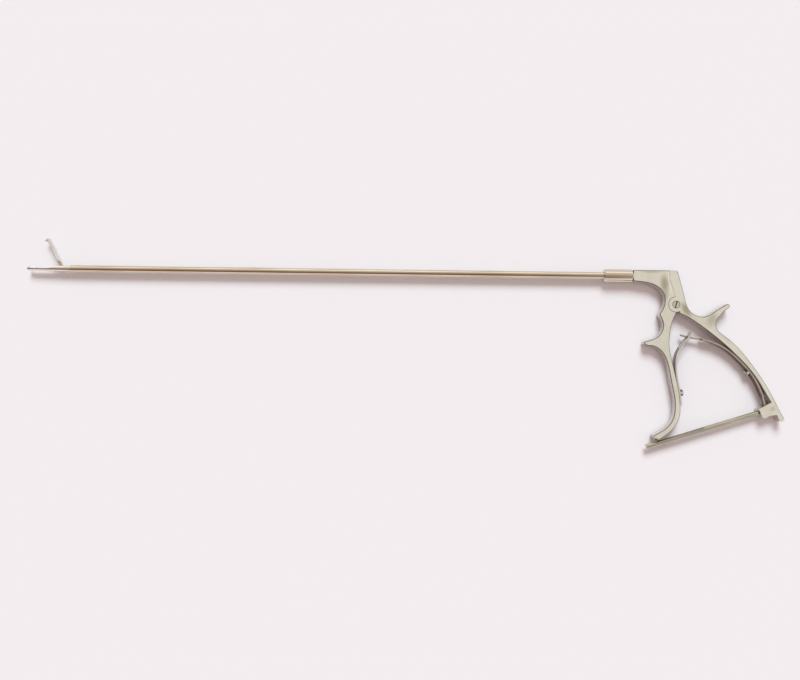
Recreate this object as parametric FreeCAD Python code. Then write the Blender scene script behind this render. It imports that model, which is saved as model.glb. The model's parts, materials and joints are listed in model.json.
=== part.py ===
import FreeCAD, Part
import math
import os

# Uterine grasping forceps, lying on its side.
# The measures below are millimetres from the pivot of the two handles: X runs along the
# shaft from the jaws to the handles, Y from the grips to the head, Z up through the plates.
# At the end everything is moved so that the origin is at the middle of the underside.

# Handles
ARC_TOLERANCE = 0.03        # how closely tangent arcs follow a drawn curve
PLATE = 6.4                 # thickness of both handle plates
EDGE = 0.7                  # rounding of their outer edges
HEAD_TOP = 21.2             # top edge of the head above the pivot
HEAD_FRONT = -26.6          # face of the head that the collar butts against
SPLIT_GAP = 0.14            # gap between head and rear handle at rest

# Pivot of the handles
DISK_RADIUS = 4.65          # round ear of the rear handle about the pivot
TONGUE = 2.2                # thickness of the front handle's tongue inside the ears
TONGUE_RADIUS = 4.5
FORK_GAP = 0.15             # gap between tongue and ears
BRIDGE_REACH = 0.95         # how far the tongue's root reaches into the head
BRIDGE_TOP = 110            # and the directions in which it starts and ends, degrees
BRIDGE_BOTTOM = 252
SCREW_HEAD_RADIUS = 2.4
SCREW_HEAD = 1.2            # height of the pivot screw's head
SCREW_EDGE = 0.3            # bevel of the pivot screw's head and of its nut
SHANK_RADIUS = 1.5
SHANK_FIT = 0.04            # running clearance of the tongue on the shank
SCREW_SLOT = 0.75           # width of the screwdriver slot
SCREW_SLOT_DEPTH = 0.7
NUT_SLOT_DEPTH = 0.5
SLOT_REACH = 3.0            # half length of the cutter for both slots
SLOT_LEAN = 74.5            # direction of the pivot screw's slot, degrees from X
NUT = 1.1                   # height of the slotted nut

# Shaft
AXIS = 17.65                # height of the shaft's axis above the pivot
TUBE_RADIUS = 2.25
TUBE_BORE = TUBE_RADIUS - 0.5
SEAT_RADIUS = TUBE_RADIUS - 0.4     # the tube is narrower inside collar and head
SEAT_BORE = SEAT_RADIUS - 0.4
END_RADIUS = TUBE_RADIUS - 0.16     # radius of the end piece with the jaws
TUBE_SEAT = 10.0            # depth of the tube's seat in the head
COLLAR_RADIUS = 4.15
COLLAR_LENGTH = 18.4
COLLAR_EDGE = 0.8

# Drive rod
ROD_RADIUS = 1.0
ROD_FIT = 0.06              # clearance of the rod in its bush and in the head
BALL_RADIUS = 1.6
BALL_FIT = 0.1
BALL_X = -1.35              # centre of the ball at rest
BALL_FLOOR = 0.3            # space under the ball and under the rod
BUSH_LENGTH = 6.0
BUSH_SETBACK = 12.0         # distance of the bush behind the end of the tube

# Jaws
JAW_PIVOT_X = -384.8
JAW_PIVOT_Y = AXIS + 1.1
JAW_OPEN = 64.0             # opening at rest, degrees
JAW_LENGTH = 19.5           # from the jaw's pivot to its tip
JAW_PARTING = AXIS + 0.05   # height of the plane in which the jaws meet
JAW_GAP = 0.1               # gap between the closed jaws
LOWER_REACH = 1.9           # the lower jaw is longer than the upper one by this
LOWER_TAPER = 0.8           # radius of the lower jaw's tip as a share of the end piece's
CHEEK_REACH = 3.0           # the end piece is round from this far before the jaw's pivot
CHEEK_SLOT = 2.1            # width of the slot between the cheeks
CHEEK_SLOT_REACH = 5.0      # how far before the jaw's pivot that slot starts
HUB_RADIUS = 1.15
HUB_WIDTH = 1.8
ROOT_REACH = 4.6            # the upper jaw's root starts this far before the pivot
ROOT_HEIGHT = 1.6
JAW_PIN_RADIUS = 0.55
PIN_FIT = 0.05
CRANK = 3.13                # from the jaw's pivot to its crank pin
CRANK_EYE = 0.7             # radius of the crank's end
CRANK_WIDTH = 0.8
CRANK_PIN_RADIUS = 0.5
SERRATION_PITCH = 1.4
SERRATION_DEPTH = 0.35
HOOK_REACH = 1.9            # how far the upper jaw's hook stands out of its face
HOOK_LENGTH = 2.0
HOOK_WIDTH = 1.2
HOOK_ROOT = 0.8             # how far the hook runs into the jaw
TIP_TOOTH = 1.1             # height of the lower jaw's two tip teeth
TIP_TOOTH_LENGTH = 1.4
MID_TOOTH = 0.6             # height of the small teeth along the lower jaw
MID_TOOTH_HALF = 0.8        # half of their length
MID_TOOTH_WIDTH = 0.7
MID_TOOTH_SIDE = 1.15       # how far each stands from the middle plane
MID_TOOTH_X = JAW_PIVOT_X - 15.5
FACE_GAP = 0.15             # side clearance of teeth in their slots

# Yoke of the rod: two side plates that hold the crank pin between them
YOKE_WIDTH = 1.9
YOKE_SLOT = 1.0             # width between the side plates
YOKE_TOP = JAW_PIVOT_Y - HUB_RADIUS - 0.1
YOKE_BOTTOM = AXIS - 2.0
YOKE_FRONT = 1.1            # from the crank pin to the front of the yoke
YOKE_REAR = 3.4             # from the crank pin to the rod
YOKE_WEB = 0.8
PIN_SLOT_FIT = 0.1
YOKE_ROOM = 0.5             # space behind the yoke when the jaws are closed

# Leaf springs
LEAF = 1.0                  # thickness of both leaf springs
LEAF_WIDTH = PLATE - 2 * EDGE - 0.2
FORK_SLOT = 2.6             # slot in the front spring's forked end
TONGUE_WIDTH = 2.0          # tongue of the rear spring, which runs in that slot
RACK_ARM_WIDTH = 2.8        # lower arm of the rear spring, which reaches the rack
LEAF_SCREW_RADIUS = 2.25
LEAF_SCREW_HEAD = 1.8
LEAF_SHANK_RADIUS = 1.1
LEAF_SHANK = 2.6            # depth of the shank in the handle
LEAF_SCREW_SLOT = 0.6       # width and depth of its slot
LEAF_SCREW_EDGE = 0.5       # rounding of its head
FORK_START = 2.9            # the fork's slot is open from here to the spring's end
TONGUE_END = 16.5           # the tongue widens here to the full spring
ARM_START = (48.0, -57.5)   # the lower arm is narrow to the right of and below this place
ARM_END = 62.0              # and ends before this

# Rack
RACK_PIVOT = (57.2, -66.1)
RACK_ANGLE = 17.57          # slope of the rack at rest, degrees
RACK_LENGTH = 77.8          # from its pin to its tip
RACK_HEIGHT = 3.1
RACK_WIDTH = 3.0
RACK_ROUND = RACK_HEIGHT / 2 + 0.05     # radius of the round bar that the rack is cut from
RACK_HUB = 2.4              # radius of the eye about the rack pin
RACK_PIN_RADIUS = 1.0
RACK_PIN_FIT = 0.05
RACK_SLOT_FIT = 0.2         # side clearance of the rack between the cheeks
RACK_SLOT_TOP = 5.9         # the slot ends this far above the rack pin
RACK_SLOT_BOTTOM = 6.0      # starts this far below it
RACK_SLOT_REACH = 8.0       # and this far before it
TIP_CHAMFER = 0.8
TOOTH_FACE = 0.15           # run of a tooth's steep side
TOOTH_LAND = 0.25           # flat top of a tooth
TOOTH_PITCH = 1.28
TOOTH_DEPTH = 0.75
TOOTH_START = 39.5          # from the rack pin to the first tooth
TIP_PLAIN = 5.8             # the rack's tip has no teeth over this length
NOSE_GAP = 0.2              # the toe's nose stands this far off the tooth tips
NOSE_WIDTH = 4.0
NOSE_X = -10.7

# The end piece reaches back far enough for the yoke, and meets the tube there.
TUBE_FRONT = JAW_PIVOT_X + CRANK * math.sin(math.radians(JAW_OPEN / 2)) + YOKE_REAR + YOKE_ROOM

V = FreeCAD.Vector
UP = V(0, 0, 1)
ALONG = V(1, 0, 0)


def point(place):
    return V(place[0], place[1], 0)


def line(start, end):
    return Part.makeLine(point(start), point(end))


def arc(start, middle, end):
    return Part.Arc(point(start), point(middle), point(end)).toShape()


def curve(places):
    """Smooth curve through the places, as a chain of tangent arcs."""
    spline = Part.BSplineCurve()
    spline.interpolate([point(place) for place in places])
    return [piece.toShape() for piece in spline.toBiArcs(ARC_TOLERANCE)]


def polygon(places):
    closed = list(places) + [places[0]]
    return [line(a, b) for a, b in zip(closed, closed[1:])]


def plate(stretches, width):
    """The area inside the outline, as thick as the width and centred on the middle plane."""
    edges = []
    for stretch in stretches:
        edges += stretch if isinstance(stretch, list) else [stretch]
    face = Part.Face(Part.Wire(edges))
    face.translate(V(0, 0, -width / 2))
    return face.extrude(V(0, 0, width))


def pillar(x, y, radius, width):
    """Round bar along Z, centred on the middle plane."""
    return Part.makeCylinder(radius, width, V(x, y, -width / 2), UP)


def bar(x0, x1, y0, y1, width):
    return Part.makeBox(x1 - x0, y1 - y0, width, V(x0, y0, -width / 2))


def rod(x0, x1, radius, y=AXIS):
    return Part.makeCylinder(radius, x1 - x0, V(x0, y, 0), ALONG)


def on_circle(radius, degrees):
    angle = math.radians(degrees)
    return (radius * math.cos(angle), radius * math.sin(angle))


def turned(shape, x, y, degrees):
    copy = shape.copy()
    copy.rotate(V(x, y, 0), UP, degrees)
    return copy


def round_faces(shape, radius, keep):
    """Rounds the edges of both flat faces, where keep(x, y) allows it."""
    chosen = []
    for edge in shape.Edges:
        low = edge.BoundBox.ZMin
        high = edge.BoundBox.ZMax
        if high - low > 1e-6 or abs(abs(low) - PLATE / 2) > 1e-6:
            continue
        middle = edge.valueAt((edge.FirstParameter + edge.LastParameter) / 2)
        if keep(middle.x, middle.y):
            chosen.append(edge)
    return shape.makeFillet(radius, chosen)


def beside(edge, start, distance):
    """Edge that runs beside an arc or line at a distance; start is where the edge begins."""
    first = edge.FirstParameter
    last = edge.LastParameter
    if (edge.valueAt(last) - start).Length < (edge.valueAt(first) - start).Length:
        first, last = last, first
    places = []
    for at in (first, (first + last) / 2, last):
        way = edge.tangentAt(at) * math.copysign(1, last - first)
        places.append(edge.valueAt(at) + V(-way.y, way.x, 0) * distance)
    shape = Part.Arc(*places).toShape()
    return shape, edge.valueAt(last), (places[0], places[2])


def leaf(places, thickness, width):
    """Leaf spring: a band of even thickness along a curve."""
    sides = []
    ends = []
    for distance in (thickness / 2, -thickness / 2):
        start = point(places[0])
        for edge in curve(places):
            shape, start, spots = beside(edge, start, distance)
            sides.append(shape)
            ends.append(spots)
    half = len(ends) // 2
    close_first = Part.makeLine(ends[0][0], ends[half][0])
    close_last = Part.makeLine(ends[half - 1][1], ends[-1][1])
    return plate(Part.sortEdges(sides + [close_first, close_last])[0], width)


# Front handle

SPLIT_ANGLE = 99.0          # where the split line leaves the round ear
SPLIT_LOW = on_circle(DISK_RADIUS + SPLIT_GAP, SPLIT_ANGLE)
SPLIT_BEND = (-4.35, 16.5)
SPLIT_TOP = (-4.5, HEAD_TOP)
NECK_INNER = on_circle(DISK_RADIUS + SPLIT_GAP, -85.0)
TOE_OUTER = (-13.2, -82.0)
TOE_CORNER = (-12.9, -83.0)
TOE_INNER = (-9.1, -84.5)


def rack_top(x):
    """Height of the line of tooth tips at rest."""
    slope = math.tan(math.radians(RACK_ANGLE))
    rise = RACK_HEIGHT / 2 / math.cos(math.radians(RACK_ANGLE))
    return RACK_PIVOT[1] - (RACK_PIVOT[0] - x) * slope + rise


def front_handle_outline():
    finger_side = curve([
        (HEAD_FRONT, 14.2), (-19.5, 13.5), (-12.7, 11.4), (-8.5, 7.6), (-7.1, 2.4),
        (-7.9, -1.9), (-9.4, -4.6), (-10.2, -6.3), (-9.6, -8.0), (-8.2, -10.9),
        (-8.0, -14.2), (-9.4, -18.2), (-12.6, -21.2), (-17.2, -22.8), (-19.7, -24.1),
        (-18.6, -25.5), (-15.0, -26.05), (-10.8, -27.7), (-7.6, -30.9), (-5.5, -35.0),
        (-3.4, -43.5), (-1.6, -52.2), (-0.3, -58.5), (0.05, -64.5), (-0.8, -70.7),
        (-3.8, -75.8), (-8.2, -79.3), TOE_OUTER])
    inner_side = curve([
        TOE_INNER, (-3.4, -80.3), (1.0, -75.3), (3.3, -69.5), (3.5, -63.0), (2.5, -54.5),
        (0.2, -44.1), (-2.2, -34.5), (-3.7, -27.0), (-3.7, -20.0), (-2.8, -13.2),
        (-1.2, -8.5), NECK_INNER])
    gap_radius = DISK_RADIUS + SPLIT_GAP
    around = arc(NECK_INNER, on_circle(gap_radius, 180.0), SPLIT_LOW)
    return [
        finger_side,
        line(TOE_OUTER, TOE_CORNER),
        line(TOE_CORNER, TOE_INNER),
        inner_side,
        around,
        line(SPLIT_LOW, SPLIT_BEND),
        line(SPLIT_BEND, SPLIT_TOP),
        line(SPLIT_TOP, (HEAD_FRONT, HEAD_TOP)),
        line((HEAD_FRONT, HEAD_TOP), (HEAD_FRONT, 14.2))]


def make_front_handle():
    def outside(x, y):
        at_joint = math.hypot(x, y) < DISK_RADIUS + 1
        at_split = x > -4.6 and y > 4
        at_collar = x < HEAD_FRONT + 0.1
        at_toe = y < TOE_OUTER[1] and x < TOE_INNER[0]
        return not (at_joint or at_split or at_collar or at_toe)

    body = plate(front_handle_outline(), PLATE)
    body = round_faces(body, EDGE, outside)
    bridge_radius = DISK_RADIUS + BRIDGE_REACH
    bridge_top = on_circle(bridge_radius, BRIDGE_TOP)
    bridge_bottom = on_circle(bridge_radius, BRIDGE_BOTTOM)
    bridge = plate([
        arc(bridge_top, on_circle(bridge_radius, 180), bridge_bottom),
        line(bridge_bottom, (0, 0)),
        line((0, 0), bridge_top)], TONGUE)
    tongue = pillar(0, 0, TONGUE_RADIUS, TONGUE)
    body = body.fuse([tongue, bridge])
    body = body.cut(pillar(0, 0, SHANK_RADIUS + SHANK_FIT, PLATE))
    nose = plate(polygon([
        (TOE_CORNER[0] + 1, TOE_CORNER[1] + 0.6), TOE_CORNER, (NOSE_X - 0.3, rack_top(NOSE_X - 0.3) + NOSE_GAP),
        (NOSE_X + 0.2, rack_top(NOSE_X + 0.2) + NOSE_GAP), TOE_INNER,
        (TOE_INNER[0], TOE_INNER[1] + 1)]), NOSE_WIDTH)
    body = body.fuse(nose)
    body = body.cut(rod(HEAD_FRONT, HEAD_FRONT + TUBE_SEAT, SEAT_RADIUS))
    body = body.cut(rod(HEAD_FRONT, 0, ROD_RADIUS + ROD_FIT))
    return body.removeSplitter()


# Rear handle

REAR_LOW = on_circle(DISK_RADIUS, SPLIT_ANGLE - math.degrees(1.2 * SPLIT_GAP / DISK_RADIUS))
REAR_BEND = (SPLIT_BEND[0] + SPLIT_GAP, SPLIT_BEND[1])
REAR_TOP = (SPLIT_TOP[0] + SPLIT_GAP, HEAD_TOP)
REAR_CORNER = (0.2, HEAD_TOP)
REAR_BACK = (1.1, HEAD_TOP - 1.3)
NECK_OUTER = on_circle(DISK_RADIUS, -60.0)
NECK_CORNER = (NECK_OUTER[0] + 0.42, NECK_OUTER[1] - 1.67)
BLOCK_ROOT = (59.9, -60.7)
TAIL_ROOT = (63.9, -68.1)
TAIL_OUTER = (68.4, -70.4)
TAIL_INNER = (65.5, -72.1)


def rear_handle_outline():
    back = curve([
        REAR_BACK, (2.5, 15.0), (4.1, 9.1), (5.8, 2.9), (7.3, -1.6), (9.6, -4.7),
        (13.2, -6.8), (17.2, -7.4), (21.1, -6.1), (25.9, -2.9), (30.7, 0.0), (32.6, 0.7),
        (33.6, -0.3), (32.0, -2.4), (27.4, -7.0), (25.3, -10.1), (25.1, -13.5),
        (27.4, -16.8), (32.5, -20.7), (40.4, -27.9), (48.0, -36.9), (55.6, -47.7),
        (61.7, -57.9), (66.2, -66.6), TAIL_OUTER])
    tail = [
        arc(TAIL_OUTER, (67.7, -71.9), TAIL_INNER),
        line(TAIL_INNER, TAIL_ROOT)]
    inner = curve([
        BLOCK_ROOT, (56.4, -55.0), (51.7, -47.2), (45.3, -38.9), (38.0, -31.5),
        (30.0, -24.2), (21.5, -17.5), (12.1, -10.8), NECK_CORNER])
    block = [
        line(TAIL_ROOT, (59.2, -68.8)), line((59.2, -68.8), (56.9, -70.2)),
        arc((56.9, -70.2), (55.4, -70.2), (54.5, -69.2)), line((54.5, -69.2), (52.9, -65.6)),
        arc((52.9, -65.6), (52.8, -64.9), (53.3, -64.4)), line((53.3, -64.4), BLOCK_ROOT)]
    return [back] + tail + block + [
        inner,
        line(NECK_CORNER, NECK_OUTER),
        arc(NECK_OUTER, on_circle(DISK_RADIUS, 180.0), REAR_LOW),
        line(REAR_LOW, REAR_BEND),
        line(REAR_BEND, REAR_TOP),
        line(REAR_TOP, REAR_CORNER),
        line(REAR_CORNER, REAR_BACK)]


def make_rear_handle():
    def outside(x, y):
        at_joint = x < NECK_CORNER[0] and math.hypot(x, y) < math.hypot(*NECK_CORNER)
        at_split = x < -0.5 and y > 4
        at_block = 52 < x < 64 and y < -60
        at_tail = y < TAIL_ROOT[1] and x < TAIL_INNER[0] + 1 or y < TAIL_OUTER[1]
        at_top = y > REAR_BACK[1]
        return not (at_joint or at_split or at_block or at_tail or at_top)

    body = plate(rear_handle_outline(), PLATE)
    body = round_faces(body, EDGE, outside)
    fork = TONGUE + 2 * FORK_GAP
    body = body.cut(pillar(0, 0, DISK_RADIUS + 0.2, fork))
    body = body.cut(pillar(0, 0, SHANK_RADIUS, PLATE))
    face = PLATE / 2
    body = body.cut(Part.makeCylinder(SCREW_HEAD_RADIUS, PLATE, V(0, 0, face - SCREW_HEAD), UP))
    body = body.cut(Part.makeCylinder(SCREW_HEAD_RADIUS, PLATE, V(0, 0, NUT - face), -UP))

    # Seat of the rod's ball, open at the top, and the slot that the rod enters through.
    floor = AXIS - BALL_RADIUS - BALL_FLOOR
    half = BALL_RADIUS + BALL_FIT
    body = body.cut(bar(BALL_X - half, BALL_X + half, floor, HEAD_TOP + 1, 2 * half))
    neck = 2 * (ROD_RADIUS + BALL_FIT)
    body = body.cut(bar(REAR_TOP[0] - 1, BALL_X, floor, HEAD_TOP + 1, neck))

    # Slot for the rack between the two cheeks.
    slot = RACK_WIDTH + 2 * RACK_SLOT_FIT
    px, py = RACK_PIVOT
    reach = RACK_HUB + 0.4
    low = py - RACK_SLOT_BOTTOM
    body = body.cut(bar(px - RACK_SLOT_REACH, px + reach, low, py + RACK_SLOT_TOP, slot))
    body = body.cut(pillar(px, py, RACK_PIN_RADIUS, PLATE))
    return body.removeSplitter()


def rims_at(shape, height):
    return [edge for edge in shape.Edges if edge.Closed and abs(edge.CenterOfMass.z - height) < EDGE]


def make_pivot_screw():
    face = PLATE / 2
    screw = Part.makeCylinder(SCREW_HEAD_RADIUS, SCREW_HEAD, V(0, 0, face - SCREW_HEAD), UP)
    screw = screw.makeChamfer(SCREW_EDGE, rims_at(screw, face))
    screw = screw.fuse(Part.makeCylinder(SHANK_RADIUS, PLATE - SCREW_HEAD, V(0, 0, -face), UP))
    slot = bar(-SLOT_REACH, SLOT_REACH, -SCREW_SLOT / 2, SCREW_SLOT / 2, 2 * SCREW_SLOT_DEPTH)
    slot.translate(V(0, 0, face))
    return screw.cut(turned(slot, 0, 0, SLOT_LEAN))


def make_pivot_nut():
    face = PLATE / 2
    nut = Part.makeCylinder(SCREW_HEAD_RADIUS, NUT, V(0, 0, -face), UP)
    nut = nut.makeChamfer(SCREW_EDGE, rims_at(nut, -face))
    slot = bar(-SLOT_REACH, SLOT_REACH, -SCREW_SLOT / 2, SCREW_SLOT / 2, 2 * NUT_SLOT_DEPTH)
    slot.translate(V(0, 0, -face))
    nut = nut.cut(turned(slot, 0, 0, SLOT_LEAN - 90))
    return nut.cut(pillar(0, 0, SHANK_RADIUS, 2 * PLATE))


# Shaft

COLLAR_FRONT = HEAD_FRONT - COLLAR_LENGTH
BUSH_FRONT = TUBE_FRONT + BUSH_SETBACK


def make_collar():
    collar = rod(COLLAR_FRONT, HEAD_FRONT, COLLAR_RADIUS)
    collar = collar.makeChamfer(COLLAR_EDGE, [edge for edge in collar.Edges if edge.Closed])
    return collar.cut(rod(COLLAR_FRONT, HEAD_FRONT, SEAT_RADIUS))


def make_shaft_tube():
    rear = HEAD_FRONT + TUBE_SEAT
    tube = rod(TUBE_FRONT, COLLAR_FRONT, TUBE_RADIUS).fuse(rod(COLLAR_FRONT, rear, SEAT_RADIUS))
    tube = tube.cut(rod(TUBE_FRONT, COLLAR_FRONT, TUBE_BORE))
    return tube.cut(rod(TUBE_FRONT, rear, SEAT_BORE))


def make_guide_bush():
    rear = BUSH_FRONT + BUSH_LENGTH
    return rod(BUSH_FRONT, rear, TUBE_BORE).cut(rod(BUSH_FRONT, rear, ROD_RADIUS + ROD_FIT))


# Jaws

LOWER_TIP = JAW_PIVOT_X - JAW_LENGTH - LOWER_REACH
UPPER_TIP = JAW_PIVOT_X - JAW_LENGTH
SPIGOT = 6.5                # how far the end piece reaches into the tube
CHEEK_START = JAW_PIVOT_X - CHEEK_REACH
RAMP = [
    (JAW_PIVOT_X - 8.0, JAW_PARTING), (JAW_PIVOT_X - 4.1, JAW_PARTING + 0.8),
    (JAW_PIVOT_X - 2.6, JAW_PARTING + 1.8), (JAW_PIVOT_X - 1.8, JAW_PARTING + 2.65)]


def serrated(x0, x1, y, depth):
    """Points of a toothed line from x0 to x1; the notches go to y + depth."""
    count = int((x1 - x0) / SERRATION_PITCH)
    places = []
    for step in range(count):
        start = x0 + step * SERRATION_PITCH
        places.append((start + 0.2, y))
        places.append((start + SERRATION_PITCH / 2, y + depth))
        places.append((start + SERRATION_PITCH - 0.2, y))
    return places


def make_fixed_jaw():
    bottom = AXIS - END_RADIUS - 1
    tooth_top = JAW_PARTING + TIP_TOOTH
    face = serrated(LOWER_TIP + 4, RAMP[0][0] - 0.5, JAW_PARTING, -SERRATION_DEPTH)
    profile = [
        (LOWER_TIP, bottom), (LOWER_TIP, tooth_top), (LOWER_TIP + 0.3, tooth_top),
        (LOWER_TIP + TIP_TOOTH_LENGTH, JAW_PARTING)] + face + RAMP + [
        (TUBE_FRONT, AXIS + END_RADIUS + 1), (TUBE_FRONT, bottom)]
    stock = rod(CHEEK_START, TUBE_FRONT, END_RADIUS)
    taper = Part.makeCone(
        LOWER_TAPER * END_RADIUS, END_RADIUS, CHEEK_START - LOWER_TIP, V(LOWER_TIP, AXIS, 0), ALONG)
    body = stock.fuse(taper).common(plate(polygon(profile), 4 * END_RADIUS))
    tooth_foot = JAW_PARTING - MID_TOOTH
    for side in (-1, 1):
        tooth = plate(polygon([
            (MID_TOOTH_X - MID_TOOTH_HALF, tooth_foot), (MID_TOOTH_X, JAW_PARTING + MID_TOOTH),
            (MID_TOOTH_X + MID_TOOTH_HALF, tooth_foot)]), MID_TOOTH_WIDTH)
        tooth.translate(V(0, 0, side * MID_TOOTH_SIDE))
        body = body.fuse(tooth)
    body = body.fuse(rod(TUBE_FRONT, TUBE_FRONT + SPIGOT, TUBE_BORE))
    body = body.cut(rod(TUBE_FRONT, TUBE_FRONT + SPIGOT, ROD_RADIUS + ROD_FIT))
    slot_start = JAW_PIVOT_X - CHEEK_SLOT_REACH
    body = body.cut(bar(slot_start, TUBE_FRONT - 0.1, bottom, HEAD_TOP, CHEEK_SLOT))
    body = body.cut(rod(TUBE_FRONT - 1, TUBE_FRONT + 1, ROD_RADIUS + ROD_FIT))
    hook_slot = HOOK_WIDTH + 2 * FACE_GAP
    hook_end = UPPER_TIP + HOOK_LENGTH + 0.5
    body = body.cut(bar(LOWER_TIP - 1, hook_end, bottom, HEAD_TOP, hook_slot))
    return body.cut(pillar(JAW_PIVOT_X, JAW_PIVOT_Y, JAW_PIN_RADIUS, 4 * END_RADIUS))


def make_jaw_pivot_pin():
    pin = pillar(JAW_PIVOT_X, JAW_PIVOT_Y, JAW_PIN_RADIUS, 4 * END_RADIUS)
    return pin.common(rod(JAW_PIVOT_X - 2, JAW_PIVOT_X + 2, END_RADIUS))


def crank_pin_place(degrees):
    """Crank pin when the crank stands the given angle behind straight down."""
    angle = math.radians(degrees)
    return (JAW_PIVOT_X + CRANK * math.sin(angle), JAW_PIVOT_Y - CRANK * math.cos(angle))


CRANK_CLOSED = crank_pin_place(JAW_OPEN / 2)
CRANK_OPEN = crank_pin_place(-JAW_OPEN / 2)


def make_upper_jaw():
    """Made closed, then opened about its pivot."""
    low = JAW_PARTING + JAW_GAP
    face = serrated(UPPER_TIP + HOOK_LENGTH + 0.4, RAMP[0][0] - 0.5, low, SERRATION_DEPTH)
    profile = [
        (UPPER_TIP + 0.6, AXIS + END_RADIUS), (UPPER_TIP, low + 0.6),
        (UPPER_TIP, low)] + face + [(x - 0.1, y + 0.1 + JAW_GAP) for x, y in RAMP]
    body = rod(UPPER_TIP, JAW_PIVOT_X, END_RADIUS).common(plate(polygon(profile), 4 * END_RADIUS))
    hook = plate(polygon([
        (UPPER_TIP, low + HOOK_ROOT), (UPPER_TIP + 0.1, low - HOOK_REACH),
        (UPPER_TIP + 0.4, low - HOOK_REACH), (UPPER_TIP + HOOK_LENGTH, low + HOOK_ROOT)]), HOOK_WIDTH)
    half = MID_TOOTH_HALF + FACE_GAP
    for side in (-1, 1):
        pocket = bar(
            MID_TOOTH_X - half, MID_TOOTH_X + half, low - 1, low + MID_TOOTH + JAW_GAP,
            MID_TOOTH_WIDTH + 2 * FACE_GAP)
        pocket.translate(V(0, 0, side * MID_TOOTH_SIDE))
        body = body.cut(pocket)
    body = body.fuse(hook)
    start = JAW_PIVOT_X - ROOT_REACH
    root = plate(polygon([
        (start, low), (start, low + ROOT_HEIGHT),
        (JAW_PIVOT_X, JAW_PIVOT_Y + HUB_RADIUS), (JAW_PIVOT_X, JAW_PIVOT_Y - HUB_RADIUS)]), HUB_WIDTH)
    hub = pillar(JAW_PIVOT_X, JAW_PIVOT_Y, HUB_RADIUS, HUB_WIDTH)
    px, py = CRANK_CLOSED
    lean = math.radians(JAW_OPEN / 2)
    side = (CRANK_EYE * math.cos(lean), CRANK_EYE * math.sin(lean))
    arm = plate(polygon([
        (JAW_PIVOT_X - side[0], JAW_PIVOT_Y - side[1]), (JAW_PIVOT_X + side[0], JAW_PIVOT_Y + side[1]),
        (px + side[0], py + side[1]), (px - side[0], py - side[1])]), CRANK_WIDTH)
    eye = pillar(px, py, CRANK_EYE, CRANK_WIDTH)
    body = body.fuse([root, hub, arm, eye])
    body = body.common(rod(UPPER_TIP, TUBE_FRONT, END_RADIUS))
    body = body.cut(pillar(JAW_PIVOT_X, JAW_PIVOT_Y, JAW_PIN_RADIUS + PIN_FIT, 4 * END_RADIUS))
    body = body.cut(pillar(px, py, CRANK_PIN_RADIUS, 4 * END_RADIUS))
    return turned(body.removeSplitter(), JAW_PIVOT_X, JAW_PIVOT_Y, -JAW_OPEN)


def make_jaw_crank_pin():
    px, py = CRANK_OPEN
    return pillar(px, py, CRANK_PIN_RADIUS, YOKE_WIDTH)


# Drive rod

ROD_FRONT = CRANK_OPEN[0] + YOKE_REAR


def make_rod_yoke():
    px = CRANK_OPEN[0]
    yoke = bar(px - YOKE_FRONT, px + YOKE_REAR, YOKE_BOTTOM, YOKE_TOP, YOKE_WIDTH)
    yoke = yoke.cut(bar(px - YOKE_FRONT, px + YOKE_REAR - YOKE_WEB, 0, HEAD_TOP, YOKE_SLOT))
    half = CRANK_PIN_RADIUS + PIN_SLOT_FIT
    top = JAW_PIVOT_Y - CRANK * math.cos(math.radians(JAW_OPEN / 2)) + half
    return yoke.cut(bar(px - half, px + half, 0, top, 2 * YOKE_WIDTH))


def make_drive_rod():
    ball = Part.makeSphere(BALL_RADIUS, V(BALL_X, AXIS, 0))
    return rod(ROD_FRONT, BALL_X, ROD_RADIUS).cut(ball)


def make_rod_ball():
    return Part.makeSphere(BALL_RADIUS, V(BALL_X, AXIS, 0))


# Leaf springs

FRONT_LEAF = [
    (4.05, -63.3), (3.78, -59.2), (3.25, -55.4), (2.2, -49.8), (1.28, -45.0), (0.8, -40.5),
    (0.75, -36.2), (1.25, -32.2), (2.45, -29.0), (4.1, -26.1), (6.3, -23.0), (8.7, -20.0),
    (11.2, -16.8)]
REAR_LEAF = [
    (3.9, -19.1), (9.6, -20.5), (16.0, -21.5), (22.0, -22.9), (27.6, -25.1), (32.6, -28.0),
    (36.95, -31.45), (40.1, -34.4), (43.2, -37.5), (46.7, -41.45), (49.5, -45.2), (52.0, -49.4),
    (54.2, -54.0), (55.9, -58.4), (57.2, -63.3)]
FRONT_SCREW = FRONT_LEAF[2]         # the screws stand at these points
REAR_SCREW = REAR_LEAF[9]


def screw_line(places, screw):
    """Where a spring screw stands, and the way its head points: to the right of the curve."""
    spline = Part.BSplineCurve()
    spline.interpolate([point(place) for place in places])
    way = spline.tangent(spline.parameter(point(screw)))[0]
    return point(screw), V(way.y, -way.x, 0)


FRONT_SCREW_LINE = screw_line(FRONT_LEAF, FRONT_SCREW)
REAR_SCREW_LINE = screw_line(REAR_LEAF, REAR_SCREW)


def screw_bore(place, way):
    """Bore of a spring screw, from outside the spring to the shank's end in the handle."""
    length = LEAF_SHANK + 2 * LEAF
    return Part.makeCylinder(LEAF_SHANK_RADIUS, length, place - way * LEAF_SHANK, way)


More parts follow.
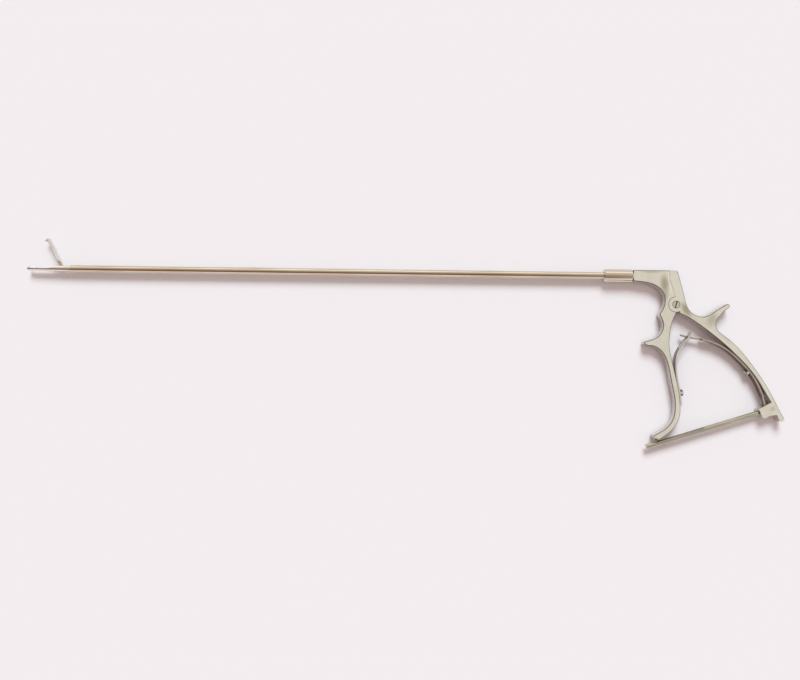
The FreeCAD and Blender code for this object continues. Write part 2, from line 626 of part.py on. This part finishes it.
def make_leaf_screw(place, way, leaf_solid):
    seat = place + way * (LEAF / 2)
    head = Part.makeCylinder(LEAF_SCREW_RADIUS, LEAF_SCREW_HEAD, seat, way)
    rim = [edge for edge in head.Edges if edge.Closed and (edge.CenterOfMass - seat).dot(way) > LEAF]
    head = head.makeFillet(LEAF_SCREW_EDGE, rim)
    slot = bar(-LEAF_SCREW_RADIUS, LEAF_SCREW_RADIUS, 0, LEAF_SCREW_SLOT + 1, LEAF_SCREW_SLOT)
    slot.rotate(V(0, 0, 0), UP, math.degrees(math.atan2(way.y, way.x)) - 90)
    slot.translate(seat + way * (LEAF_SCREW_HEAD - LEAF_SCREW_SLOT))
    shank = Part.makeCylinder(
        LEAF_SHANK_RADIUS, LEAF_SHANK + LEAF / 2, place - way * LEAF_SHANK, way)
    return head.cut(slot).cut(leaf_solid).fuse(shank)


def make_front_spring():
    spring = leaf(FRONT_LEAF, LEAF, LEAF_WIDTH)
    last = FRONT_LEAF[-1][0]
    spring = spring.cut(bar(FORK_START, last + 2, -30, 0, FORK_SLOT))
    return spring.cut(screw_bore(*FRONT_SCREW_LINE))


def make_rear_spring():
    spring = leaf(REAR_LEAF, LEAF, LEAF_WIDTH)
    for side in (-1, 1):
        tongue_side = bar(0, TONGUE_END, -30, -10, LEAF_WIDTH)
        tongue_side.translate(V(0, 0, side * (TONGUE_WIDTH + LEAF_WIDTH) / 2))
        arm_side = bar(ARM_START[0], ARM_END, RACK_PIVOT[1], ARM_START[1], LEAF_WIDTH)
        arm_side.translate(V(0, 0, side * (RACK_ARM_WIDTH + LEAF_WIDTH) / 2))
        spring = spring.cut(tongue_side).cut(arm_side)
    return spring.cut(screw_bore(*REAR_SCREW_LINE))


# Rack

def make_ratchet_rack():
    """Made level along -X from its pin, then turned to its slope."""
    half = RACK_HEIGHT / 2
    px, py = RACK_PIVOT
    top = [(px, py + half)]
    for step in range(int((RACK_LENGTH - TOOTH_START - TIP_PLAIN) / TOOTH_PITCH)):
        start = px - TOOTH_START - step * TOOTH_PITCH
        top.append((start, py + half))
        top.append((start - TOOTH_FACE, py + half - TOOTH_DEPTH))
        top.append((start - TOOTH_PITCH + TOOTH_LAND, py + half))
    tip = px - RACK_LENGTH
    places = top + [(tip, py + half), (tip + TIP_CHAMFER, py - half), (px, py - half)]
    rack = plate(polygon(places), RACK_WIDTH).common(rod(tip, px, RACK_ROUND, py))
    rack = rack.fuse(pillar(px, py, RACK_HUB, RACK_WIDTH))
    rack = rack.cut(pillar(px, py, RACK_PIN_RADIUS + RACK_PIN_FIT, 2 * RACK_WIDTH))
    return turned(rack, px, py, RACK_ANGLE)


def make_rack_pin():
    return pillar(RACK_PIVOT[0], RACK_PIVOT[1], RACK_PIN_RADIUS, PLATE)


def all_pieces():
    front = make_front_handle()
    rear = make_rear_handle()
    front_spring = make_front_spring()
    rear_spring = make_rear_spring()
    front = front.cut(screw_bore(*FRONT_SCREW_LINE))
    rear = rear.cut(screw_bore(*REAR_SCREW_LINE))
    return {
        "front_handle": front,
        "collar": make_collar(),
        "shaft_tube": make_shaft_tube(),
        "rod_guide_bush": make_guide_bush(),
        "fixed_jaw": make_fixed_jaw(),
        "jaw_pivot_pin": make_jaw_pivot_pin(),
        "front_spring": front_spring,
        "front_spring_screw": make_leaf_screw(*FRONT_SCREW_LINE, front_spring),
        "rear_handle": rear,
        "pivot_screw": make_pivot_screw(),
        "pivot_nut": make_pivot_nut(),
        "rear_spring": rear_spring,
        "rear_spring_screw": make_leaf_screw(*REAR_SCREW_LINE, rear_spring),
        "rack_pin": make_rack_pin(),
        "ratchet_rack": make_ratchet_rack(),
        "drive_rod": make_drive_rod(),
        "rod_yoke": make_rod_yoke(),
        "rod_ball": make_rod_ball(),
        "upper_jaw": make_upper_jaw(),
        "jaw_crank_pin": make_jaw_crank_pin()}


def stand_shift(pieces):
    """Move that puts the middle of the underside at the origin."""
    box = FreeCAD.BoundBox()
    for shape in pieces.values():
        box.add(shape.optimalBoundingBox(False, False))
    return V(-box.Center.x, -box.Center.y, -box.ZMin)


PIECES = all_pieces()
SHIFT = stand_shift(PIECES)
os.makedirs("parts", exist_ok=True)
for name, shape in PIECES.items():
    moved = shape.copy()
    moved.translate(SHIFT)
    moved.exportStep("parts/" + name + ".step")
    print(name, len(shape.Solids), round(shape.Volume, 2), shape.isValid())
print("shift", round(SHIFT.x, 4), round(SHIFT.y, 4), round(SHIFT.z, 4))
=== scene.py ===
import bpy
import json
import math
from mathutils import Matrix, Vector

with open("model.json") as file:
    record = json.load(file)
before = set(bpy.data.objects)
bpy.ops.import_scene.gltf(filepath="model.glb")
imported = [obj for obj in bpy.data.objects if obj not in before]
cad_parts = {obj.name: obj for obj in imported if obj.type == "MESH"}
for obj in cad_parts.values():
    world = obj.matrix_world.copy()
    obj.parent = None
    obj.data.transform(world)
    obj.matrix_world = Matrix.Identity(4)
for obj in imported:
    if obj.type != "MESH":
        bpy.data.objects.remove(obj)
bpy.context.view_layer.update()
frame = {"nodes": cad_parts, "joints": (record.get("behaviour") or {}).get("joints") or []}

# Materials
# Every pattern follows the metal itself, in metres, so it moves with its piece.


class Nodes:
    """Adds nodes to a node tree and links them."""

    def __init__(self, tree):
        self.tree = tree

    def add(self, kind, **inputs):
        node = self.tree.nodes.new(kind)
        for name, value in inputs.items():
            node.inputs[name].default_value = value
        return node

    def join(self, output, socket):
        self.tree.links.new(output, socket)

    def connect(self, value, socket):
        """Links an output to the socket, or sets the socket to a number or colour."""
        if isinstance(value, bpy.types.NodeSocket):
            self.join(value, socket)
        elif isinstance(value, tuple):
            socket.default_value = (*value, 1)
        else:
            socket.default_value = value

    def ramp(self, value, stops):
        node = self.add("ShaderNodeValToRGB")
        elements = node.color_ramp.elements
        while len(elements) < len(stops):
            elements.new(0.5)
        for element, (position, colour) in zip(elements, stops):
            element.position = position
            element.color = (*colour, 1)
        self.join(value, node.inputs["Fac"])
        return node.outputs["Color"]

    def span(self, value, low, high, to_low, to_high):
        node = self.add("ShaderNodeMapRange")
        for index, number in enumerate((low, high, to_low, to_high), start=1):
            node.inputs[index].default_value = number
        self.join(value, node.inputs["Value"])
        return node.outputs["Result"]

    def mix(self, share, first, second, blend="MIX"):
        node = self.tree.nodes.new("ShaderNodeMix")
        node.data_type = "RGBA"
        node.blend_type = blend
        self.connect(share, node.inputs[0])
        self.connect(first, node.inputs[6])
        self.connect(second, node.inputs[7])
        return node.outputs[2]

    def calculate(self, operation, *values):
        node = self.add("ShaderNodeMath")
        node.operation = operation
        for value, socket in zip(values, node.inputs):
            self.connect(value, socket)
        return node.outputs[0]


class Finish(Nodes):
    """A material under construction: its node tree and its shader."""

    def __init__(self, name):
        self.material = bpy.data.materials.new(name)
        self.material.use_nodes = True
        super().__init__(self.material.node_tree)
        self.shader = self.tree.nodes["Principled BSDF"]
        self.place = self.add("ShaderNodeTexCoord").outputs["Object"]

    def noise(self, stretch, turn=0.0, detail=2.0, roughness=0.5):
        """Noise with the given number of features to the metre along X, Y and Z."""
        mapping = self.add("ShaderNodeMapping")
        mapping.vector_type = "TEXTURE"
        mapping.inputs["Rotation"].default_value = (0, 0, math.radians(turn))
        mapping.inputs["Scale"].default_value = [1 / number for number in stretch]
        self.join(self.place, mapping.inputs["Vector"])
        noise = self.add("ShaderNodeTexNoise", Scale=1.0, Detail=detail, Roughness=roughness)
        self.join(mapping.outputs["Vector"], noise.inputs["Vector"])
        return noise.outputs["Fac"]

    def bump(self, height, depth):
        node = self.add("ShaderNodeBump", Strength=1.0, Distance=depth)
        self.join(height, node.inputs["Height"])
        self.join(node.outputs["Normal"], self.shader.inputs["Normal"])

    def spot(self, centre, radii, turn):
        """1 at the centre, which is in metres, falling softly to 0 at the two radii."""
        mapping = self.add("ShaderNodeMapping")
        mapping.vector_type = "TEXTURE"
        mapping.inputs["Location"].default_value = (*centre, 0)
        mapping.inputs["Rotation"].default_value = (0, 0, math.radians(turn))
        mapping.inputs["Scale"].default_value = (*radii, 1)
        self.join(self.place, mapping.inputs["Vector"])
        gradient = self.add("ShaderNodeTexGradient")
        gradient.gradient_type = "SPHERICAL"
        self.join(mapping.outputs["Vector"], gradient.inputs["Vector"])
        return self.span(gradient.outputs["Fac"], *SPOT_FALL, 0.0, 1.0)

    def from_line(self, centre):
        """Distance from the vertical line through the centre, in metres."""
        flat = self.add("ShaderNodeMapping")
        flat.inputs["Scale"].default_value = (1, 1, 0)
        self.join(self.place, flat.inputs["Vector"])
        distance = self.add("ShaderNodeVectorMath")
        distance.operation = "DISTANCE"
        self.join(flat.outputs["Vector"], distance.inputs[0])
        distance.inputs[1].default_value = (centre[0], centre[1], 0)
        return distance.outputs["Value"]

    def paint_crevice_shade(self, colour, reach, closed, open_at):
        """Paints shade into slots, notches and seams that are narrower than the reach."""
        crevice = self.add("ShaderNodeAmbientOcclusion", Distance=reach)
        crevice.samples = SHADE_SAMPLES
        depth = self.span(crevice.outputs["AO"], closed, open_at, SHADE_SHARE, 0.0)
        return self.mix(depth, colour, PAINTED_SHADE)

    def notches(self, colour, teeth):
        """Paints shade into the mouths of the notches between the teeth of a rack."""
        mapping = self.add("ShaderNodeMapping")
        mapping.vector_type = "TEXTURE"
        mapping.inputs["Location"].default_value = teeth["pin"]
        mapping.inputs["Rotation"].default_value = (0, 0, math.radians(teeth["slope"]))
        self.join(self.place, mapping.inputs["Vector"])
        parts = self.add("ShaderNodeSeparateXYZ")
        self.join(mapping.outputs["Vector"], parts.inputs[0])
        reach = self.calculate("MULTIPLY", parts.outputs["X"], -1.0)
        along = self.calculate("SUBTRACT", reach, teeth["start"])
        step = self.calculate("FRACT", self.calculate("DIVIDE", along, teeth["pitch"]))
        share = self.span(step, *teeth["mouth"], 1.0, 0.0)
        limits = (
            self.span(parts.outputs["Y"], *teeth["depth"], 0.0, 1.0),
            self.calculate("GREATER_THAN", reach, teeth["start"]),
            self.calculate("LESS_THAN", reach, teeth["end"]))
        for limit in limits:
            share = self.calculate("MULTIPLY", share, limit)
        return self.mix(share, colour, PAINTED_SHADE)

    def upward(self):
        """How much the surface faces up or down: 1 on the plates' faces, 0 on their sides."""
        parts = self.add("ShaderNodeSeparateXYZ")
        self.join(self.add("ShaderNodeNewGeometry").outputs["Normal"], parts.inputs[0])
        return self.calculate("ABSOLUTE", parts.outputs["Z"])


def plate_steel(name, light, dark, grain_turn, painted_spots=(), joint=None):
    """Satin steel of the flat plates: even grain, spots of painted reflection, highlight and shade,
    sides painted darker as shade and edges painted dark as reflection.
    """
    finish = Finish(name)
    shader = finish.shader
    shader.inputs["Metallic"].default_value = PLATE_METALLIC
    patches = finish.noise(PATCHES, detail=3.0, roughness=0.55)
    colour = finish.ramp(patches, [(PATCH_TONES[0], light), (PATCH_TONES[1], dark)])
    # spots of painted reflection, highlight and shade
    for centre, radii, turn, strength, tint in painted_spots:
        share = finish.span(finish.spot(centre, radii, turn), 0.0, 1.0, 0.0, strength)
        colour = finish.mix(share, colour, tint)
    grain = finish.noise(PLATE_GRAIN, turn=grain_turn, detail=3.0)
    brushed = finish.ramp(grain, [(GRAIN_RANGE[0], GRAIN_DARK), (GRAIN_RANGE[1], (1, 1, 1))])
    colour = finish.mix(1.0, colour, brushed, "MULTIPLY")
    facing = finish.upward()
    # rounded edges painted dark as reflection
    colour = finish.mix(finish.span(facing, *PLATE_EDGE, 0.0, 1.0), colour, DARK_EDGE_REFLECTION)
    # sides painted darker as shade
    colour = finish.mix(finish.span(facing, *PLATE_SIDE, 0.0, 1.0), colour, SIDE_SHADE)
    # a ring of painted shade along the seam round the ear of the rear plate
    if joint is not None:
        ring = finish.span(finish.from_line(joint), *JOINT_SHADE, 1.0, 0.0)
        colour = finish.mix(ring, colour, PAINTED_SHADE)
    # painted shade in the plates' seams and hollows
    colour = finish.paint_crevice_shade(colour, *PLATE_SEAMS)
    finish.join(colour, shader.inputs["Base Color"])
    rough = finish.span(grain, *GRAIN_RANGE, *PLATE_ROUGH)
    polish = finish.span(facing, *PLATE_POLISH)
    finish.join(finish.calculate("MINIMUM", rough, polish), shader.inputs["Roughness"])
    finish.bump(grain, PLATE_BUMP)
    return finish.material


def turned_steel(name, light, dark, rough, edge=None, side=None, tip=None, teeth=None,
                 seams=None, metallic=1.0):
    """Polished round steel with a fine drawn grain along the shaft and faint cloudiness."""
    finish = Finish(name)
    shader = finish.shader
    shader.inputs["Metallic"].default_value = metallic
    clouds = finish.noise(CLOUDS, detail=3.0, roughness=0.6)
    colour = finish.ramp(clouds, [(CLOUD_TONES[0], light), (CLOUD_TONES[1], dark)])
    if tip:
        along = finish.add("ShaderNodeSeparateXYZ")
        finish.join(finish.place, along.inputs[0])
        colour = finish.mix(finish.span(along.outputs["X"], *TIP_BLEND, 1.0, 0.0), colour, tip)
    facing = finish.upward()
    # side faces painted dark as shade
    if side:
        colour = finish.mix(finish.span(facing, *TURNED_SIDE, 0.0, 1.0), colour, side)
    # bevels painted dark as reflection
    if edge:
        band = finish.span(facing, *BEVEL_TOP, 0.0, 1.0)
        above_side = finish.span(facing, *BEVEL_FOOT, 0.0, 1.0)
        colour = finish.mix(finish.mix(above_side, (0, 0, 0), band), colour, edge)
    # painted shade in the mouths of the rack's notches
    if teeth:
        colour = finish.notches(colour, teeth)
    # painted shade in seams, slots and notches
    colour = finish.paint_crevice_shade(colour, *(seams or FINE_SEAMS))
    finish.join(colour, shader.inputs["Base Color"])
    grain = finish.noise(TURNED_GRAIN, detail=2.0)
    finish.join(finish.span(grain, *GRAIN_RANGE, *rough), shader.inputs["Roughness"])
    finish.bump(grain, TURNED_BUMP)
    return finish.material


# Patterns: features to the metre along X, Y and Z, the noise values of the light and the dark
# tone, and depths in metres.
PATCHES = (70, 70, 70)
PATCH_TONES = (0.40, 0.80)
CLOUDS = (30, 160, 160)
CLOUD_TONES = (0.35, 0.7)
PLATE_GRAIN = (260, 5200, 5200)
TURNED_GRAIN = (60, 4200, 4200)
GRAIN_RANGE = (0.3, 0.7)
GRAIN_DARK = (0.85, 0.84, 0.82)
PLATE_BUMP = 0.000004
TURNED_BUMP = 0.0000015
SPOT_FALL = (0.0, 0.7)              # a painted spot is even over the inner part of its radii

# Where edges, bevels and sides begin: how much the surface faces up there
PLATE_EDGE = (0.985, 0.90)
PLATE_SIDE = (0.55, 0.30)
PLATE_POLISH = (0.30, 0.95, 0.16, 1.0)  # the plates' sides are polished, their faces are not
TURNED_SIDE = (0.90, 0.60)
BEVEL_TOP = (0.97, 0.90)
BEVEL_FOOT = (0.45, 0.55)

# Painted shade in slots, notches and seams: the reach in metres and the shares of open space at
# which it is full and gone
# the colour of painted shade in crevices, notches, the joint ring and the toe
PAINTED_SHADE = (0.075, 0.06, 0.05)
SHADE_SHARE = 0.9
SHADE_SAMPLES = 8
FINE_SEAMS = (0.0007, 0.25, 0.62)
PLATE_SEAMS = (0.0018, 0.20, 0.50)
RACK_SEAMS = (0.0014, 0.55, 0.90)
JAW_SEAMS = (0.0008, 0.45, 0.80)
SCREW_SEAMS = (0.0016, 0.45, 0.85)
JOINT_SHADE = (0.00482, 0.00505)     # a ring of painted shade on the front plate round the ear of the rear one

# Lowest and highest roughness of each finish
PLATE_ROUGH = (0.42, 0.56)
SHAFT_ROUGH = (0.10, 0.17)
RACK_ROUGH = (0.16, 0.24)
SPRING_ROUGH = (0.24, 0.34)
SCREW_ROUGH = (0.26, 0.34)
JAW_ROUGH = (0.28, 0.36)

# Tones of the steels
PLATE_METALLIC = 0.5
FRONT_SPRING_METALLIC = 0.6
# painted dark reflection on the plates' rounded edges and the screws' bevels
DARK_EDGE_REFLECTION = (0.125, 0.108, 0.09)
# painted shade on the plates' sides
SIDE_SHADE = (0.62, 0.57, 0.55)
# painted dark reflection, laid on the plates in patches
DARK_REFLECTION = (0.42, 0.37, 0.25)
# painted highlight streaks on the front plate
PAINTED_HIGHLIGHT = (0.97, 0.96, 0.90)
HANDLE_LIGHT = (0.87, 0.87, 0.77)
HANDLE_DARK = (0.76, 0.735, 0.61)
RACK_LIGHT = (0.58, 0.55, 0.47)
RACK_DARK = (0.46, 0.43, 0.35)
SHAFT_LIGHT = (0.76, 0.70, 0.60)
SHAFT_DARK = (0.64, 0.57, 0.46)
JAW_LIGHT = (0.93, 0.93, 0.91)
JAW_DARK = (0.80, 0.79, 0.76)
TIP_BLEND = (-0.2200, -0.2060)      # the end piece turns from silver to the shaft's tone here
SPRING_LIGHT = (0.74, 0.71, 0.69)
SPRING_DARK = (0.60, 0.56, 0.53)
# painted shade on the front spring's side faces
SPRING_SIDE_SHADE = (0.22, 0.175, 0.155)
REAR_SPRING_LIGHT = (0.60, 0.53, 0.49)
REAR_SPRING_DARK = (0.44, 0.38, 0.34)
# painted shade on the rear spring's side faces
REAR_SPRING_SIDE_SHADE = (0.20, 0.145, 0.125)
SCREW_LIGHT = (0.90, 0.88, 0.82)
SCREW_DARK = (0.76, 0.73, 0.66)

# Painted reflections, highlights and shade in spots on the plates: centre and radii in millimetres
# from the handles' pivot, the direction of the first radius in degrees, the strength and the tone.
PIVOT = Vector(next(joint["pos_m"] for joint in frame["joints"] if joint["name"] == "squeeze"))
FRONT_PAINTED_LIGHT = [
    ((-7.4, 12.6), (7.5, 3.4), 95, 0.8, DARK_REFLECTION),
    ((-7.0, 5.5), (4.0, 2.5), 70, 0.5, DARK_REFLECTION),
    ((-15.0, 20.3), (9.0, 1.2), 0, 0.4, DARK_REFLECTION),
    ((-4.9, 17.5), (4.6, 0.55), 90, 0.9, PAINTED_HIGHLIGHT),
    ((-3.3, 9.5), (7.0, 0.55), 107, 0.9, PAINTED_HIGHLIGHT),
    # painted shade on the nose of the toe, where it overhangs the rack
    ((-10.9, -84.9), (3.0, 0.8), -12, 1.0, PAINTED_SHADE)]
REAR_PAINTED_LIGHT = [
    ((6.2, -3.0), (6.5, 3.2), -55, 0.85, DARK_REFLECTION),
    ((22.5, -9.5), (6.0, 4.2), 60, 0.5, DARK_REFLECTION),
    ((31.0, -19.0), (9.0, 3.0), -45, 0.3, DARK_REFLECTION),
    ((61.0, -64.5), (3.0, 2.0), 20, 0.35, DARK_REFLECTION)]

# The rack's teeth: distances from its pin along the rack, in metres, its slope in degrees,
# the share of each pitch painted as shade and how far from the rack's middle line the notches reach.
RACK_TEETH = {
    "pin": next(joint["pos_m"] for joint in frame["joints"] if joint["name"] == "rack_swing"),
    "slope": 17.57,
    "start": 0.0395,
    "end": 0.0715,
    "pitch": 0.00128,
    "mouth": (0.45, 0.60),
    "depth": (0.0006, 0.0009)}


def from_pivot(painted_spots):
    placed = []
    for centre, radii, turn, strength, tint in painted_spots:
        place = (PIVOT.x + centre[0] / 1000, PIVOT.y + centre[1] / 1000)
        placed.append((place, (radii[0] / 1000, radii[1] / 1000), turn, strength, tint))
    return placed


FRONT_GRAIN_TURN = -72.0            # direction of the plates' grain, degrees from X
REAR_GRAIN_TURN = -52.0

MATERIALS = {
    "front_plate": plate_steel(
        "front_plate", HANDLE_LIGHT, HANDLE_DARK, FRONT_GRAIN_TURN, from_pivot(FRONT_PAINTED_LIGHT), PIVOT),
    "rear_plate": plate_steel(
        "rear_plate", HANDLE_LIGHT, HANDLE_DARK, REAR_GRAIN_TURN, from_pivot(REAR_PAINTED_LIGHT)),
    "rack": turned_steel(
        "rack", RACK_LIGHT, RACK_DARK, RACK_ROUGH, teeth=RACK_TEETH, seams=RACK_SEAMS),
    "shaft": turned_steel("shaft", SHAFT_LIGHT, SHAFT_DARK, SHAFT_ROUGH),
    "end_piece": turned_steel("end_piece", SHAFT_LIGHT, SHAFT_DARK, SHAFT_ROUGH, tip=JAW_LIGHT),
    "jaws": turned_steel("jaws", JAW_LIGHT, JAW_DARK, JAW_ROUGH, seams=JAW_SEAMS),
    "front_spring": turned_steel(
        "front_spring", SPRING_LIGHT, SPRING_DARK, SPRING_ROUGH, side=SPRING_SIDE_SHADE,
        metallic=FRONT_SPRING_METALLIC),
    "rear_spring": turned_steel(
        "rear_spring", REAR_SPRING_LIGHT, REAR_SPRING_DARK, SPRING_ROUGH, side=REAR_SPRING_SIDE_SHADE),
    "screws": turned_steel(
        "screws", SCREW_LIGHT, SCREW_DARK, SCREW_ROUGH, edge=DARK_EDGE_REFLECTION, seams=SCREW_SEAMS)}

NODE_MATERIALS = {
    "front_handle": "front_plate",
    "rear_handle": "rear_plate",
    "ratchet_rack": "rack",
    "collar": "shaft",
    "shaft_tube": "shaft",
    "rod_guide_bush": "shaft",
    "drive_rod": "shaft",
    "rod_yoke": "jaws",
    "rod_ball": "shaft",
    "fixed_jaw": "end_piece",
    "upper_jaw": "jaws",
    "jaw_pivot_pin": "jaws",
    "jaw_crank_pin": "jaws",
    "front_spring": "front_spring",
    "rear_spring": "rear_spring",
    "front_spring_screw": "screws",
    "rear_spring_screw": "screws",
    "pivot_screw": "screws",
    "pivot_nut": "screws",
    "rack_pin": "rear_plate"}

for node, material in NODE_MATERIALS.items():
    piece = frame["nodes"][node]
    piece.data.materials.clear()
    piece.data.materials.append(MATERIALS[material])

# Floor

PAPER = (0.871, 0.855, 0.879)
FLOOR_SIZE = 6.0
FLOOR_DROP = 0.00005                # just under the lowest piece
bpy.ops.mesh.primitive_plane_add(size=FLOOR_SIZE, location=(0, 0, -FLOOR_DROP))
floor = bpy.context.object
floor.name = "floor"
paper = Finish("paper")
paper.shader.inputs["Base Color"].default_value = (*PAPER, 1)
paper.shader.inputs["Roughness"].default_value = 0.9
paper.shader.inputs["Specular IOR Level"].default_value = 0.0
floor.data.materials.append(paper.material)

# Light

KEY_HEIGHT = math.radians(43)
KEY_SPREAD = math.radians(26)
KEY_STRENGTH = 2.67
KEY_COLOUR = (0.82, 0.93, 0.98)
FILL = (0.56, 0.455, 0.42)

key_data = bpy.data.lights.new("key", "SUN")
key_data.angle = KEY_SPREAD
key_data.energy = KEY_STRENGTH
key_data.color = KEY_COLOUR
key = bpy.data.objects.new("key", key_data)
bpy.context.scene.collection.objects.link(key)
key_way = Vector((0.0, math.cos(KEY_HEIGHT), math.sin(KEY_HEIGHT)))
key.location = key_way
key.rotation_euler = key_way.to_track_quat("Z", "Y").to_euler()
key.visible_glossy = False

# The room that the polished metal mirrors: a bright side, and a brown one overhead.
ROOM = [
    (0.00, (1.10, 0.90, 0.88)),
    (0.18, (1.25, 1.02, 1.00)),
    (0.23, (0.26, 0.155, 0.11)),
    (0.42, (0.24, 0.14, 0.10)),
    (0.52, (0.46, 0.34, 0.26)),
    (0.62, (0.62, 0.52, 0.42)),
    (0.74, (0.70, 0.63, 0.55)),
    (0.81, (1.40, 1.36, 1.26)),
    (1.00, (1.40, 1.36, 1.28))]
ROOM_SIDE = (0.84, 0.82, 0.78)      # the room toward the handles' end
SIDE_REACH = (0.22, 0.45)
HORIZON = (0.26, 0.22, 0.20)        # the room is darker near the floor
HORIZON_HEIGHT = (0.06, 0.34)
BACKDROP = (0.888, 0.847, 0.863)    # the lit paper's tone, so that no horizon shows

world = bpy.data.worlds.new("room")
bpy.context.scene.world = world
world.use_nodes = True
world.node_tree.nodes.clear()
room = Nodes(world.node_tree)
way = room.add("ShaderNodeSeparateXYZ")
room.join(room.add("ShaderNodeTexCoord").outputs["Generated"], way.inputs[0])
angle = room.calculate("ARCTAN2", way.outputs["Y"], way.outputs["Z"])
turn = room.calculate("MULTIPLY_ADD", angle, 1 / math.pi, 0.5)
side_share = room.span(way.outputs["X"], *SIDE_REACH, 0.0, 1.0)
mirrored = room.mix(side_share, room.ramp(turn, ROOM), ROOM_SIDE)
height = room.span(way.outputs["Z"], *HORIZON_HEIGHT, 0.0, 1.0)
mirrored = room.mix(height, HORIZON, mirrored)
rays = room.add("ShaderNodeLightPath")
seen = room.mix(rays.outputs["Is Glossy Ray"], FILL, mirrored)
seen = room.mix(rays.outputs["Is Camera Ray"], seen, BACKDROP)
background = room.add("ShaderNodeBackground")
room.join(seen, background.inputs["Color"])
output = room.add("ShaderNodeOutputWorld")
room.join(background.outputs[0], output.inputs[0])

# Camera: straight above the middle of the photograph's frame

IMAGE = (800, 680)
PIXELS_PER_METRE = 1600.0   # at the height of the plates' upper edges
EDGE_HEIGHT = 0.00665
CAMERA_ABOVE = 0.485
CAMERA_TURN = math.radians(0.75)
PIVOT_PIXEL = (675.9, 304.5)
SENSOR = 36.0

across = Vector((math.cos(CAMERA_TURN), math.sin(CAMERA_TURN), 0))
upward = Vector((-math.sin(CAMERA_TURN), math.cos(CAMERA_TURN), 0))
from_centre = (PIVOT_PIXEL[0] - IMAGE[0] / 2, IMAGE[1] / 2 - PIVOT_PIXEL[1])
offset = (across * from_centre[0] + upward * from_centre[1]) / PIXELS_PER_METRE
aim = Vector((PIVOT.x, PIVOT.y, EDGE_HEIGHT)) - offset

camera_data = bpy.data.cameras.new("camera")
camera_data.sensor_width = SENSOR
camera_data.lens = SENSOR * PIXELS_PER_METRE * CAMERA_ABOVE / IMAGE[0]
camera_data.clip_start = 0.01
camera = bpy.data.objects.new("camera", camera_data)
bpy.context.scene.collection.objects.link(camera)
camera.location = aim + Vector((0, 0, CAMERA_ABOVE))
camera.rotation_euler = (0, 0, CAMERA_TURN)
bpy.context.scene.camera = camera
bpy.context.scene.view_settings.view_transform = "Standard"
